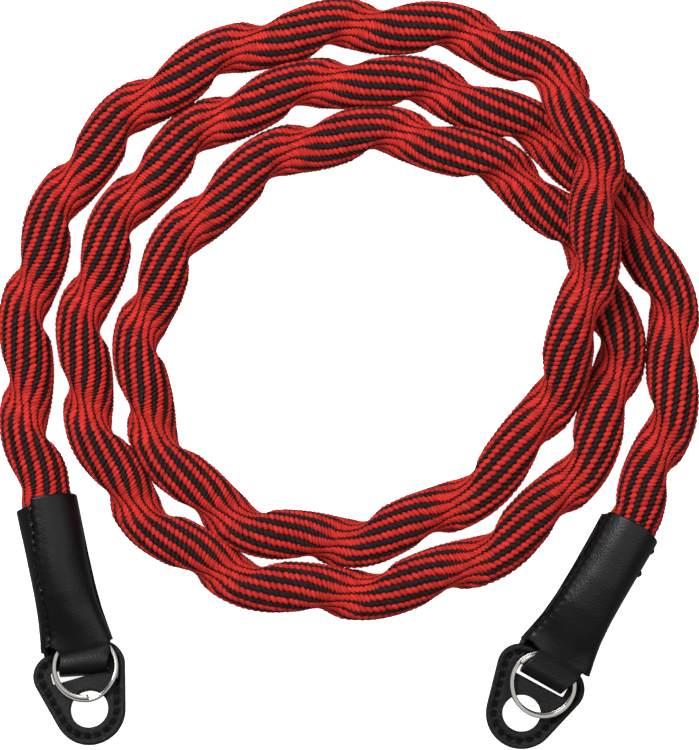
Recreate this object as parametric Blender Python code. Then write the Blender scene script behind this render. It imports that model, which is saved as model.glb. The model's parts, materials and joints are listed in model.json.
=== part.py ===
# Braided camera strap, laid down in almost three loose turns. The cord is pinched by one
# long winding groove. Each end has a leather sleeve whose tab holds a steel split ring and
# a leather ring guard. The strap lies on the plane z = 0.
import math

import bmesh
import bpy
import numpy as np
from mathutils import Matrix, Vector

MM = 0.001
GAP = 0.3 * MM

# Braided cord
LOBE_RADIUS = 6.0 * MM
GROOVE_DEPTH = 2.7 * MM
GROOVE_PITCH = 25.6 * MM
FIRST_CREASE = 11.5 * MM
CORD_SIDES = 10
CORD_TUCK = 24.0 * MM
CORD_NARROWING = 7.0 * MM

# Depth of the groove along one pitch at one side of the cord, as a share of GROOVE_DEPTH:
# a sharp crease, a short valley, then a slow swell up to the full lobe.
GROOVE_SHAPE = (
    # along, depth
    (0.05, 0.70),
    (0.15, 1.00),
    (0.25, 0.84),
    (0.35, 0.54),
    (0.45, 0.31),
    (0.55, 0.13),
    (0.65, 0.03),
    (0.75, 0.00),
    (0.85, 0.06),
    (0.95, 0.21),
)

# Route of the cord from the left sleeve to the right one, in turns that grow and shrink
# about one centre. Height counts cord thicknesses above the cord that lies on the floor,
# and lead is how far the groove runs ahead of an even pitch, as a share of that pitch.
COIL_CENTRE = Vector((-3.4, 16.5, 0.0)) * MM
ROUTE = (
    # turned (degrees), radius (mm), height, lead
    (206, 73.9, 0.00, 0.04),
    (194, 70.0, 0.00, 0.03),
    (174, 65.9, 0.00, 0.07),
    (154, 62.7, 0.00, 0.11),
    (134, 60.3, 0.00, 0.15),
    (114, 59.0, 0.00, 0.15),
    (94, 59.5, 0.00, 0.13),
    (76, 62.0, 0.00, 0.15),
    (62, 65.5, 0.06, 0.15),
    (50, 67.5, 0.36, 0.16),
    (40, 67.4, 0.78, 0.20),
    (30, 64.9, 0.97, 0.27),
    (18, 60.1, 1.01, 0.36),
    (6, 55.8, 0.97, 0.37),
    (-4, 53.8, 0.78, 0.33),
    (-13, 52.8, 0.36, 0.27),
    (-24, 52.4, 0.04, 0.21),
    (-40, 52.2, 0.00, 0.13),
    (-58, 52.1, 0.00, 0.04),
    (-76, 52.4, 0.00, 0.00),
    (-96, 53.1, 0.00, 0.00),
    (-116, 52.5, 0.00, 0.00),
    (-136, 50.3, 0.00, 0.00),
    (-156, 46.3, 0.00, 0.03),
    (-176, 41.3, 0.00, 0.08),
    (-196, 36.8, 0.00, 0.13),
    (-216, 34.1, 0.00, 0.13),
    (-236, 33.5, 0.00, 0.10),
    (-256, 34.3, 0.00, 0.08),
    (-276, 36.6, 0.02, 0.10),
    (-292, 39.0, 0.08, 0.09),
    (-308, 42.2, 0.20, 0.09),
    (-326, 47.8, 0.14, 0.09),
    (-346, 55.2, 0.00, 0.09),
    (-366, 62.3, 0.00, 0.09),
    (-386, 65.1, 0.00, 0.05),
    (-406, 65.4, 0.00, 0.00),
    (-426, 64.9, 0.00, -0.07),
    (-446, 64.5, 0.00, -0.14),
    (-466, 64.3, 0.00, -0.22),
    (-486, 63.4, 0.00, -0.22),
    (-506, 60.8, 0.00, -0.15),
    (-526, 56.9, 0.00, -0.09),
    (-546, 52.8, 0.00, -0.04),
    (-566, 49.5, 0.00, 0.00),
    (-586, 47.5, 0.00, 0.02),
    (-606, 46.8, 0.00, 0.03),
    (-626, 47.4, 0.00, 0.02),
    (-642, 49.3, 0.00, 0.00),
    (-656, 51.3, 0.00, 0.00),
    (-670, 54.4, 0.00, 0.00),
    (-686, 59.8, 0.00, 0.00),
    (-706, 67.9, 0.00, 0.03),
    (-724, 74.6, 0.00, 0.03),
    (-738, 77.6, 0.00, 0.00),
    (-748, 79.3, 0.00, -0.02),
)

# Leather sleeve: round at the mouth, pressed wide and flat at the end that holds the ring
SLEEVE_LENGTH = 32.7 * MM
SLEEVE_MOUTH_RADIUS = 6.9 * MM
SLEEVE_END_HEIGHT = 8.4 * MM
SLEEVE_WALL = 1.3 * MM
SLEEVE_SIDES = 24
FLAT_SECTION_SQUARENESS = 1.6
SLEEVE_SECTIONS = (
    # along the sleeve, share of the way to the end's width, to the end's height
    (0.00, 0.00, 0.00),
    (0.15, -0.04, 0.01),
    (0.40, -0.08, 0.08),
    (0.62, -0.02, 0.30),
    (0.78, 0.22, 0.58),
    (0.90, 0.62, 0.83),
    (1.00, 1.00, 1.00),
)

# Tab of the sleeve, which loops through the ring and the guard's slot
TAB_THICKNESS = 1.1 * MM
TAB_ROOT_WIDTH = 11.4 * MM
TAB_FOLD_WIDTH = 10.2 * MM
TAB_ARCH = 0.8 * MM
TAB_COLUMNS = 5
TAB_ROOT_DEPTH = 1.6 * MM
TAB_ROOT_RISE = 0.4 * MM
TAB_FLOOR_RISE = 0.05 * MM
TAB_CREST_REACH = 2.2 * MM
TAB_CREST_RISE = 0.15 * MM
TAB_TOP_RADIUS = 3.0 * MM
TAB_BEND_RADIUS = 2.0 * MM
TAB_FOLD_RADIUS = 0.9 * MM
SLIVER = 0.9 * MM
NEARLY_STRAIGHT = 0.01

# Ring guard: a pad round three circles, one about its hole and two at the slot's corners
GUARD_THICKNESS = 2.4 * MM
GUARD_HOLE_RADIUS = 4.2 * MM
GUARD_NOSE_RADIUS = 7.9 * MM
GUARD_CORNER_RADIUS = 5.0 * MM
GUARD_WIDTH = 20.6 * MM
GUARD_SHOULDER = 14.0 * MM
GUARD_EDGE_CHAMFER = 0.5 * MM
SLOT_WIDTH = 12.8 * MM
SLOT_HEIGHT = 2.9 * MM
SLOT_CORNER_RADIUS = 1.1 * MM
SLOT_TO_HOLE = 7.3 * MM
HOLE_SIDES = 20
CORNER_STEPS = 6

# Split ring: flat wire wound almost twice, with one step up from coil to coil
RING_RADIUS = 7.5 * MM
WIRE_WIDTH = 1.1 * MM
WIRE_HEIGHT = 0.85 * MM
COIL_CLEARANCE = 0.1 * MM
RING_STEPS = 44
WIRE_SIDES = 6
RING_START = math.radians(20)
RING_SWEEP = math.radians(655)
STEP_START = math.radians(320)
STEP_END = math.radians(380)

# Where each end lies: mouth of the sleeve, its heading, and how its pieces hang from it
ENDS = {
    "left": {
        "mouth": Vector((-66.7, -27.8, 0.0)) * MM,
        "heading": math.radians(-78.3),
        "end_width": 16.2 * MM,
        "tab_root_shift": 1.7 * MM,
        "tab_fold_shift": 0.0 * MM,
        "guard_shift": -1.0 * MM,
        "guard_turn": math.radians(4.5),
        "guard_lift": math.radians(14.0),
        "ring_reach": 5.3 * MM,
        "ring_shift": 0.9 * MM,
        "ring_turn": math.radians(40),
    },
    "right": {
        "mouth": Vector((61.5, -33.8, 0.0)) * MM,
        "heading": math.radians(-119.7),
        "end_width": 17.4 * MM,
        "tab_root_shift": 1.0 * MM,
        "tab_fold_shift": -0.1 * MM,
        "guard_shift": -0.5 * MM,
        "guard_turn": math.radians(1.5),
        "guard_lift": None,
        "ring_reach": 5.7 * MM,
        "ring_shift": 0.5 * MM,
        "ring_turn": math.radians(-60),
    },
}

GUARD_LENGTH = GUARD_SHOULDER + GUARD_NOSE_RADIUS
RING_HEIGHT = 2 * WIRE_HEIGHT + COIL_CLEARANCE
CORD_THICKNESS = 2 * LOBE_RADIUS + GAP


def clear_scene():
    for item in list(bpy.data.objects):
        bpy.data.objects.remove(item, do_unlink=True)


def make_material(name, colour, roughness, metallic=0.0):
    material = bpy.data.materials.new(name)
    material.use_nodes = True
    shader = material.node_tree.nodes["Principled BSDF"]
    shader.inputs["Base Color"].default_value = (*colour, 1.0)
    shader.inputs["Roughness"].default_value = roughness
    shader.inputs["Metallic"].default_value = metallic
    return material


def add_object(name, mesh_source, material):
    mesh = bpy.data.meshes.new(name)
    mesh_source.to_mesh(mesh)
    mesh_source.free()
    mesh.materials.append(material)
    piece = bpy.data.objects.new(name, mesh)
    bpy.context.scene.collection.objects.link(piece)
    return piece


def add_cutter(name, mesh_source, target, material):
    cutter = add_object(name, mesh_source, material)
    cutter.hide_render = True
    cutter.display_type = "WIRE"
    cutter.matrix_world = target.matrix_world
    cut = target.modifiers.new(name, "BOOLEAN")
    cut.operation = "DIFFERENCE"
    cut.solver = "EXACT"
    cut.object = cutter


def skin_rings(rings, crossing=False):
    # Closed skin over rings of points, with a flat cap on the first and the last ring.
    # With crossing set, each four-sided patch is split along the diagonal that winds.
    source = bmesh.new()
    loops = [[source.verts.new(point) for point in ring] for ring in rings]
    count = len(loops[0])
    for here, ahead in zip(loops, loops[1:]):
        for side in range(count):
            following = (side + 1) % count
            corners = (here[side], here[following], ahead[following], ahead[side])
            if crossing:
                source.faces.new((corners[0], corners[1], corners[2]))
                source.faces.new((corners[0], corners[2], corners[3]))
            else:
                source.faces.new(corners)
    source.faces.new(reversed(loops[0]))
    source.faces.new(loops[-1])
    return source


def natural_spline(knots, values, places):
    # Smooth curve through the values, straight at both ends
    count = len(knots)
    spans = np.diff(knots)
    system = np.eye(count)
    bends = np.zeros_like(values)
    for i in range(1, count - 1):
        system[i, i - 1:i + 2] = spans[i - 1], 2 * (spans[i - 1] + spans[i]), spans[i]
        rise_after = (values[i + 1] - values[i]) / spans[i]
        rise_before = (values[i] - values[i - 1]) / spans[i - 1]
        bends[i] = 6 * (rise_after - rise_before)
    curvature = np.linalg.solve(system, bends)
    at = np.clip(np.searchsorted(knots, places, side="right") - 1, 0, count - 2)
    span = spans[at][:, None]
    before = (places - knots[at])[:, None]
    after = span - before
    cubic = (curvature[at] * after**3 + curvature[at + 1] * before**3) / (6 * span)
    start = (values[at] / span - curvature[at] * span / 6) * after
    finish = (values[at + 1] / span - curvature[at + 1] * span / 6) * before
    return cubic + start + finish


def heading_vector(angle):
    return Vector((math.cos(angle), math.sin(angle), 0.0))


def end_matrix(end):
    # Frame of one end: x runs outwards from the sleeve's flat end, z is up from the floor
    origin = end["mouth"] + heading_vector(end["heading"]) * SLEEVE_LENGTH
    return Matrix.Translation(origin) @ Matrix.Rotation(end["heading"], 4, "Z")


def sleeve_half_sizes(end, along):
    stations, widening, flattening = np.array(SLEEVE_SECTIONS).T
    wide = float(np.interp(along, stations, widening))
    flat = float(np.interp(along, stations, flattening))
    half_width = SLEEVE_MOUTH_RADIUS + wide * (end["end_width"] / 2 - SLEEVE_MOUTH_RADIUS)
    half_height = SLEEVE_MOUTH_RADIUS + flat * (SLEEVE_END_HEIGHT / 2 - SLEEVE_MOUTH_RADIUS)
    return half_width, half_height, 2 + FLAT_SECTION_SQUARENESS * flat


def rounded_section(angle, half_width, half_height, squareness):
    # Point of a circle that is pressed towards a rounded box as squareness grows past 2
    across = math.cos(angle)
    up = math.sin(angle)
    reach = (abs(across)**squareness + abs(up)**squareness)**(-1 / squareness)
    return half_width * across * reach, half_height * up * reach


def route_points():
    # Centre of the cord through its whole route, with its height and the groove's lead
    def tucked(end, share):
        depth = share * CORD_TUCK
        height = sleeve_half_sizes(end, depth / SLEEVE_LENGTH)[1]
        place = end["mouth"] + heading_vector(end["heading"]) * depth
        return (place.x, place.y, height, 0.0)

    left, right = ENDS["left"], ENDS["right"]
    points = [tucked(left, share) for share in (1.0, 0.5, 0.0)]
    for turned, radius, height, lead in ROUTE:
        spoke = COIL_CENTRE + heading_vector(math.radians(turned)) * radius * MM
        points.append((spoke.x, spoke.y, LOBE_RADIUS + height * CORD_THICKNESS, lead))
    points.extend(tucked(right, share) for share in (0.0, 0.5, 1.0))
    return np.array(points)


def smooth_route():
    # Even run of places along the route: how far each lies from the left sleeve's mouth,
    # its centre and the groove's lead there
    points = route_points()
    knots = np.concatenate([[0], np.cumsum(np.linalg.norm(np.diff(points[:, :3], axis=0), axis=1))])
    places = np.arange(0, knots[-1], MM)
    run = natural_spline(knots, points, places)
    # Where the cord lies on the floor the curve doesn't dip into it
    loose = (places > CORD_TUCK) & (places < knots[-1] - CORD_TUCK)
    run[loose, 2] = np.maximum(run[loose, 2], LOBE_RADIUS)
    steps = np.linalg.norm(np.diff(run[:, :3], axis=0), axis=1)
    travelled = np.concatenate([[0], np.cumsum(steps)]) - CORD_TUCK
    return travelled, run[:, :3], run[:, 3]


def cord_rings():
    # One ring of points for each side that the groove moves on by
    travelled, centres, lead = smooth_route()
    loose_length = travelled[-1] - CORD_TUCK
    turns = (travelled - FIRST_CREASE) / GROOVE_PITCH + lead
    first = math.ceil(turns[0] * CORD_SIDES)
    last = math.floor(turns[-1] * CORD_SIDES)
    stations = np.interp(np.arange(first, last + 1) / CORD_SIDES, turns, travelled)
    tangents = np.gradient(centres, travelled, axis=0)
    shape_along, shape_depth = np.array(GROOVE_SHAPE).T
    rings = []
    for index, station in zip(range(first, last + 1), stations):
        centre = np.array([np.interp(station, travelled, centres[:, axis]) for axis in range(3)])
        ahead = Vector([np.interp(station, travelled, tangents[:, axis]) for axis in range(3)])
        inward = ahead.cross(Vector((0, 0, 1))).normalized()
        up = inward.cross(ahead).normalized()
        # Depth inside the nearer sleeve, and how far the sleeve squeezes the cord there
        end = ENDS["left"] if station < loose_length / 2 else ENDS["right"]
        inside = max(-station, station - loose_length)
        squeeze = min(max(1 + inside / CORD_NARROWING, 0), 1)
        squeeze = squeeze * squeeze * (3 - 2 * squeeze)
        half_width, half_height, square = sleeve_half_sizes(end, max(inside, 0) / SLEEVE_LENGTH)
        ring = []
        for side in range(CORD_SIDES):
            angle = math.pi / 2 + 2 * math.pi * side / CORD_SIDES
            phase = (index / CORD_SIDES - angle / (2 * math.pi)) % 1
            depth = np.interp(phase, shape_along, shape_depth, period=1)
            radius = LOBE_RADIUS - GROOVE_DEPTH * depth
            wall = SLEEVE_WALL + GAP
            across, rise = rounded_section(angle, half_width - wall, half_height - wall, square)
            across = across * squeeze + radius * math.cos(angle) * (1 - squeeze)
            rise = rise * squeeze + radius * math.sin(angle) * (1 - squeeze)
            ring.append(Vector(centre) + inward * across + up * rise)
        rings.append(ring)
    return rings


def make_cord(material):
    return add_object("strap_cord", skin_rings(cord_rings(), crossing=True), material)


def sleeve_shell(end):
    # Tube with a wall: out along the outside, round the flat end, back along the inside
    def section(along, wall):
        half_width, half_height, square = sleeve_half_sizes(end, along)
        ring = []
        for side in range(SLEEVE_SIDES):
            angle = 2 * math.pi * (side + 0.5) / SLEEVE_SIDES
            across, rise = rounded_section(angle, half_width - wall, half_height - wall, square)
            ring.append(Vector(((along - 1) * SLEEVE_LENGTH, across, half_height + rise)))
        return ring

    stations = [row[0] for row in SLEEVE_SECTIONS]
    rings = [section(along, 0.0) for along in stations]
    rings += [section(along, SLEEVE_WALL) for along in reversed(stations)]
    source = bmesh.new()
    loops = [[source.verts.new(point) for point in ring] for ring in rings]
    for here, ahead in zip(loops, loops[1:] + loops[:1]):
        for side in range(SLEEVE_SIDES):
            following = (side + 1) % SLEEVE_SIDES
            source.faces.new((here[side], here[following], ahead[following], ahead[side]))
    return source


def fold_reach():
    # Distance along the guard from its shoulder edge to the tab's middle in the slot
    return GUARD_SHOULDER - SLOT_TO_HOLE - SLIVER - TAB_THICKNESS / 2


def guard_lift(end):
    # Without a lift of its own the guard leans on the tab's fold and touches the floor
    # with its nose
    if end["guard_lift"] is None:
        return -math.asin((TAB_THICKNESS + GAP) / (GUARD_LENGTH - fold_reach()))
    return end["guard_lift"]


def guard_seat(end):
    # Reach and height of the shoulder edge: clear of the sleeve's end however it is turned,
    # and clear of the tab below it
    swing = (GUARD_CORNER_RADIUS * (1 - math.cos(end["guard_turn"]))
             + (GUARD_WIDTH / 2 - GUARD_CORNER_RADIUS) * abs(math.sin(end["guard_turn"])))
    drop = max(0.0, -math.sin(guard_lift(end))) * fold_reach()
    return GAP + swing, TAB_THICKNESS + GAP + drop


def guard_plane_point(end, reach, rise):
    # Side view of a point that lies so far along the guard and so far above its underside
    lift = guard_lift(end)
    seat_reach, seat_height = guard_seat(end)
    return np.array((
        seat_reach + reach * math.cos(lift) - rise * math.sin(lift),
        seat_height + reach * math.sin(lift) + rise * math.cos(lift),
    ))


def rounded_route(corners):
    # Straight runs between corners, each corner rounded by its own radius in a few steps
    places = [np.array(place) for place, radius, steps in corners]
    route = [places[0]]
    for before, (place, radius, steps), after in zip(places, corners[1:], places[2:]):
        place = np.array(place)
        come = (before - place) / np.linalg.norm(before - place)
        leave = (after - place) / np.linalg.norm(after - place)
        half_angle = math.acos(float(np.clip(come @ leave, -1, 1))) / 2
        if math.cos(half_angle) < NEARLY_STRAIGHT:
            route.append(place)
            continue
        run_off = radius / math.tan(half_angle)
        centre = place + (come + leave) / np.linalg.norm(come + leave) * radius / math.sin(half_angle)
        start = place + come * run_off - centre
        finish = place + leave * run_off - centre
        whole = math.pi - 2 * half_angle
        for step in range(steps + 1):
            share = step / steps
            weights = math.sin((1 - share) * whole), math.sin(share * whole)
            route.append(centre + (start * weights[0] + finish * weights[1]) / math.sin(whole))
    route.append(places[-1])
    return np.array(route)


def tab_centre_line(end):
    # Side view of the tab: over the ring, down through it and the slot, back under the guard
    half = TAB_THICKNESS / 2
    ring_top = GUARD_THICKNESS + GAP + RING_HEIGHT
    over_ring = ring_top + GAP + half
    wall_middle = SLEEVE_END_HEIGHT - SLEEVE_WALL / 2
    floor = half + TAB_FLOOR_RISE
    below = guard_plane_point(end, fold_reach(), -GAP - half)
    return rounded_route((
        ((-TAB_ROOT_DEPTH, wall_middle + TAB_ROOT_RISE), 0, 0),
        ((0.0, wall_middle), TAB_TOP_RADIUS, 1),
        (guard_plane_point(end, TAB_CREST_REACH, over_ring + TAB_CREST_RISE), TAB_TOP_RADIUS, 2),
        (guard_plane_point(end, fold_reach(), over_ring), TAB_BEND_RADIUS, 5),
        ((below[0], max(below[1], floor)), TAB_FOLD_RADIUS, 4),
        ((TAB_CREST_REACH / 2, floor), TAB_FOLD_RADIUS, 1),
        ((-TAB_ROOT_DEPTH, floor), 0, 0),
    ))


def tab_strip(end):
    run = tab_centre_line(end)
    furthest = run[:, 0].max()
    rings = []
    for index, (reach, height) in enumerate(run):
        ahead = run[min(index + 1, len(run) - 1)] - run[max(index - 1, 0)]
        ahead = ahead / np.linalg.norm(ahead)
        out = np.array([-ahead[1], ahead[0]])
        folded = min(max(reach / furthest, 0), 1)
        half_width = (TAB_ROOT_WIDTH + folded * (TAB_FOLD_WIDTH - TAB_ROOT_WIDTH)) / 2
        shift = end["tab_root_shift"] + folded * (end["tab_fold_shift"] - end["tab_root_shift"])
        on_top = height > SLEEVE_END_HEIGHT / 2
        arch = TAB_ARCH * (1 - folded) if on_top else 0.0
        ring = []
        for face in (1, -1):
            for column in range(TAB_COLUMNS):
                share = face * (1 - 2 * column / (TAB_COLUMNS - 1))
                centre = np.array([reach, height - arch * share**2])
                place = centre + out * face * TAB_THICKNESS / 2
                ring.append(Vector((place[0], shift + share * half_width, place[1])))
        rings.append(ring)
    return skin_rings(rings)


def make_sleeve(name, end, material):
    sleeve = add_object(name, sleeve_shell(end), material)
    bmesh_tidy(sleeve)
    tab = add_object(name + "_tab_form", tab_strip(end), material)
    bmesh_tidy(tab)
    tab.hide_render = True
    tab.display_type = "WIRE"
    for item in (sleeve, tab):
        item.matrix_world = end_matrix(end)
    join = sleeve.modifiers.new("tab", "BOOLEAN")
    join.operation = "UNION"
    join.solver = "EXACT"
    join.object = tab
    return sleeve


def bmesh_tidy(piece):
    source = bmesh.new()
    source.from_mesh(piece.data)
    bmesh.ops.recalc_face_normals(source, faces=source.faces)
    source.to_mesh(piece.data)
    source.free()


def arc_points(centre, radius, start, finish, steps):
    angles = np.linspace(start, finish, steps + 1)
    return [(centre[0] + radius * math.cos(a), centre[1] + radius * math.sin(a)) for a in angles]


def guard_outline():
    # Tangent arcs round the nose and the two corners, from the slot end to the nose and back
    corner_x = GUARD_CORNER_RADIUS
    corner_y = GUARD_WIDTH / 2 - GUARD_CORNER_RADIUS
    spread = math.hypot(GUARD_SHOULDER - corner_x, corner_y)
    lean = math.atan2(corner_y, GUARD_SHOULDER - corner_x)
    tangent = math.acos((GUARD_CORNER_RADIUS - GUARD_NOSE_RADIUS) / spread) - lean
    steps = CORNER_STEPS
    points = arc_points((corner_x, corner_y), GUARD_CORNER_RADIUS, math.pi, tangent, steps)
    points += arc_points((GUARD_SHOULDER, 0), GUARD_NOSE_RADIUS, tangent, -tangent, 2 * steps + 2)
    points += arc_points((corner_x, -corner_y), GUARD_CORNER_RADIUS, -tangent, -math.pi, steps)
    return points


def rounded_box_outline(low, high, radius, steps):
    corners = (
        ((low[0] + radius, low[1] + radius), math.pi),
        ((high[0] - radius, low[1] + radius), 1.5 * math.pi),
        ((high[0] - radius, high[1] - radius), 0.0),
        ((low[0] + radius, high[1] - radius), 0.5 * math.pi),
    )
    points = []
    for centre, start in corners:
        points += arc_points(centre, radius, start, start + math.pi / 2, steps)
    return points


def plate(outline, low, high, chamfer=0.0):
    # Upright plate over an outline, with its long edges cut back by a chamfer
    source = bmesh.new()
    bottom = source.faces.new([source.verts.new((x, y, low)) for x, y in outline])
    raised = bmesh.ops.extrude_face_region(source, geom=[bottom])["geom"]
    verts = [item for item in raised if isinstance(item, bmesh.types.BMVert)]
    bmesh.ops.translate(source, verts=verts, vec=(0, 0, high - low))
    bmesh.ops.recalc_face_normals(source, faces=source.faces)
    if chamfer:
        rims = [e for e in source.edges if abs(e.verts[0].co.z - e.verts[1].co.z) < chamfer]
        bmesh.ops.bevel(source, geom=rims, offset=chamfer, segments=1, affect="EDGES")
    return source


def guard_matrix(end):
    reach, height = guard_seat(end)
    tilt = Matrix.Rotation(-guard_lift(end), 4, "Y")
    turn = Matrix.Rotation(end["guard_turn"], 4, "Z")
    seat = Matrix.Translation((reach, end["guard_shift"], height))
    return end_matrix(end) @ seat @ turn @ tilt


def make_guard(name, end, material):
    body = plate(guard_outline(), 0.0, GUARD_THICKNESS, GUARD_EDGE_CHAMFER)
    guard = add_object(name, body, material)
    guard.matrix_world = guard_matrix(end)
    bottom = -GUARD_THICKNESS
    top = 2 * GUARD_THICKNESS
    hole = arc_points((GUARD_SHOULDER, 0), GUARD_HOLE_RADIUS, 0, 2 * math.pi, HOLE_SIDES)[:-1]
    add_cutter(name + "_hole_form", plate(hole, bottom, top), guard, material)
    slot_far = GUARD_SHOULDER - SLOT_TO_HOLE
    low = (slot_far - SLOT_HEIGHT, -SLOT_WIDTH / 2)
    high = (slot_far, SLOT_WIDTH / 2)
    slot = rounded_box_outline(low, high, SLOT_CORNER_RADIUS, 2)
    add_cutter(name + "_slot_form", plate(slot, bottom, top), guard, material)
    return guard


def make_ring(name, end, material):
    # Wire wound on one level, up the step, then on above itself
    rings = []
    for index in range(RING_STEPS + 1):
        swept = RING_START + RING_SWEEP * index / RING_STEPS
        climb = min(max((swept - STEP_START) / (STEP_END - STEP_START), 0), 1)
        level = WIRE_HEIGHT / 2 + climb * (WIRE_HEIGHT + COIL_CLEARANCE)
        middle = RING_RADIUS - WIRE_WIDTH / 2
        ring = []
        for side in range(WIRE_SIDES):
            angle = 2 * math.pi * (side + 0.5) / WIRE_SIDES
            fit = math.cos(math.pi / WIRE_SIDES)
            reach = middle + WIRE_WIDTH / 2 * math.cos(angle) / fit
            rise = level + WIRE_HEIGHT / 2 * math.sin(angle)
            ring.append(Vector((reach * math.cos(swept), reach * math.sin(swept), rise)))
        rings.append(ring)
    split_ring = add_object(name, skin_rings(rings), material)
    bmesh_tidy(split_ring)
    reach, height = guard_plane_point(end, end["ring_reach"], GUARD_THICKNESS + GAP)
    seat = Matrix.Translation((reach, end["ring_shift"], height))
    tilt = Matrix.Rotation(-guard_lift(end), 4, "Y")
    spin = Matrix.Rotation(end["ring_turn"], 4, "Z")
    split_ring.matrix_world = end_matrix(end) @ seat @ tilt @ spin
    return split_ring


def shade_round(piece, sharpest):
    piece.data.shade_smooth()
    piece.data.set_sharp_from_angle(angle=sharpest)


def main():
    clear_scene()
    braid = make_material("braided yarn", (0.42, 0.03, 0.03), 0.85)
    leather = make_material("black leather", (0.012, 0.011, 0.011), 0.55)
    steel = make_material("bright steel", (0.72, 0.70, 0.68), 0.22, 1.0)
    cord = make_cord(braid)
    bmesh_tidy(cord)
    shade_round(cord, math.radians(50))
    for side, end in ENDS.items():
        sleeve = make_sleeve(side + "_sleeve", end, leather)
        guard = make_guard(side + "_ring_guard", end, leather)
        split_ring = make_ring(side + "_split_ring", end, steel)
        for piece in (sleeve, guard, split_ring):
            shade_round(piece, math.radians(40))


main()
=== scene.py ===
import json
import math

import bmesh
import bpy
import numpy as np
from mathutils import Matrix, Vector

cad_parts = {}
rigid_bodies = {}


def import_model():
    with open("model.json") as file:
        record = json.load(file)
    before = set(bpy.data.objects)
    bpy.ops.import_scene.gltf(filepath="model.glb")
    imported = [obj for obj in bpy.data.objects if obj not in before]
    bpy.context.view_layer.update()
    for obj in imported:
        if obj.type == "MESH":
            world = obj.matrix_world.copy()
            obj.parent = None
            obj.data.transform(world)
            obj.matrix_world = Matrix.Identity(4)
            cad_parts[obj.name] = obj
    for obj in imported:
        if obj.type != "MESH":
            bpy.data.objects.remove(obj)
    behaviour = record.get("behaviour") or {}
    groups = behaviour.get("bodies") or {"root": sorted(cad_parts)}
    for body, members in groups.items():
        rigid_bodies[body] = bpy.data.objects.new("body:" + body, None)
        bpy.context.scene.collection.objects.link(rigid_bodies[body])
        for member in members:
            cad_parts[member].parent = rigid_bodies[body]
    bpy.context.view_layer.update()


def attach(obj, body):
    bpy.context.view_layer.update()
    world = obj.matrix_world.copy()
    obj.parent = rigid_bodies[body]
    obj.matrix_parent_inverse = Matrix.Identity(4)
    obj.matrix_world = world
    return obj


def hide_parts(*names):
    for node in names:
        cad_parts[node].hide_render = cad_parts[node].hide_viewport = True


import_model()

studio = bpy.context.scene.collection.objects
mm = 0.001
gap = 0.3 * mm   # left between pieces that touch or hang together

# The cord's route from the left sleeve's mouth to the right one's: turns that grow and shrink
# about one centre, with the height over the floor and the groove's lead
cord = {
    "lobeRadius": 6.0 * mm,
    "grooveDepth": 2.7 * mm,
    "groovePitch": 25.6 * mm,
    "firstCrease": 11.5 * mm,
    "tuck": 24.0 * mm,
    "narrowing": 7.0 * mm,
    "thickness": 12.3 * mm,
    "coilCentre": Vector((-0.0034, 0.0165, 0.0)),
    "route": (   # turned (degrees), radius (mm), height in cord thicknesses, groove's lead
        (206, 73.9, 0.00, 0.04), (194, 70.0, 0.00, 0.03), (174, 65.9, 0.00, 0.07),
        (154, 62.7, 0.00, 0.11), (134, 60.3, 0.00, 0.15), (114, 59.0, 0.00, 0.15),
        (94, 59.5, 0.00, 0.13), (76, 62.0, 0.00, 0.15), (62, 65.5, 0.06, 0.15),
        (50, 67.5, 0.36, 0.16), (40, 67.4, 0.78, 0.20), (30, 64.9, 0.97, 0.27),
        (18, 60.1, 1.01, 0.36), (6, 55.8, 0.97, 0.37), (-4, 53.8, 0.78, 0.33),
        (-13, 52.8, 0.36, 0.27), (-24, 52.4, 0.04, 0.21), (-40, 52.2, 0.00, 0.13),
        (-58, 52.1, 0.00, 0.04), (-76, 52.4, 0.00, 0.00), (-96, 53.1, 0.00, 0.00),
        (-116, 52.5, 0.00, 0.00), (-136, 50.3, 0.00, 0.00), (-156, 46.3, 0.00, 0.03),
        (-176, 41.3, 0.00, 0.08), (-196, 36.8, 0.00, 0.13), (-216, 34.1, 0.00, 0.13),
        (-236, 33.5, 0.00, 0.10), (-256, 34.3, 0.00, 0.08), (-276, 36.6, 0.02, 0.10),
        (-292, 39.0, 0.08, 0.09), (-308, 42.2, 0.20, 0.09), (-326, 47.8, 0.14, 0.09),
        (-346, 55.2, 0.00, 0.09), (-366, 62.3, 0.00, 0.09), (-386, 65.1, 0.00, 0.05),
        (-406, 65.4, 0.00, 0.00), (-426, 64.9, 0.00, -0.07), (-446, 64.5, 0.00, -0.14),
        (-466, 64.3, 0.00, -0.22), (-486, 63.4, 0.00, -0.22), (-506, 60.8, 0.00, -0.15),
        (-526, 56.9, 0.00, -0.09), (-546, 52.8, 0.00, -0.04), (-566, 49.5, 0.00, 0.00),
        (-586, 47.5, 0.00, 0.02), (-606, 46.8, 0.00, 0.03), (-626, 47.4, 0.00, 0.02),
        (-642, 49.3, 0.00, 0.00), (-656, 51.3, 0.00, 0.00), (-670, 54.4, 0.00, 0.00),
        (-686, 59.8, 0.00, 0.00), (-706, 67.9, 0.00, 0.03), (-724, 74.6, 0.00, 0.03),
        (-738, 77.6, 0.00, 0.00), (-748, 79.3, 0.00, -0.02)),
    "grooveShape": (   # along one pitch, share of the groove's depth
        (0.00, 0.40), (0.025, 0.62), (0.05, 0.76), (0.10, 0.92), (0.15, 0.99), (0.20, 0.98),
        (0.25, 0.87), (0.30, 0.71), (0.35, 0.56), (0.40, 0.43), (0.45, 0.33), (0.50, 0.22),
        (0.55, 0.15), (0.60, 0.08), (0.65, 0.04), (0.70, 0.01), (0.75, 0.00), (0.80, 0.03),
        (0.85, 0.07), (0.90, 0.12), (0.95, 0.21), (0.98, 0.30)),
}

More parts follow.
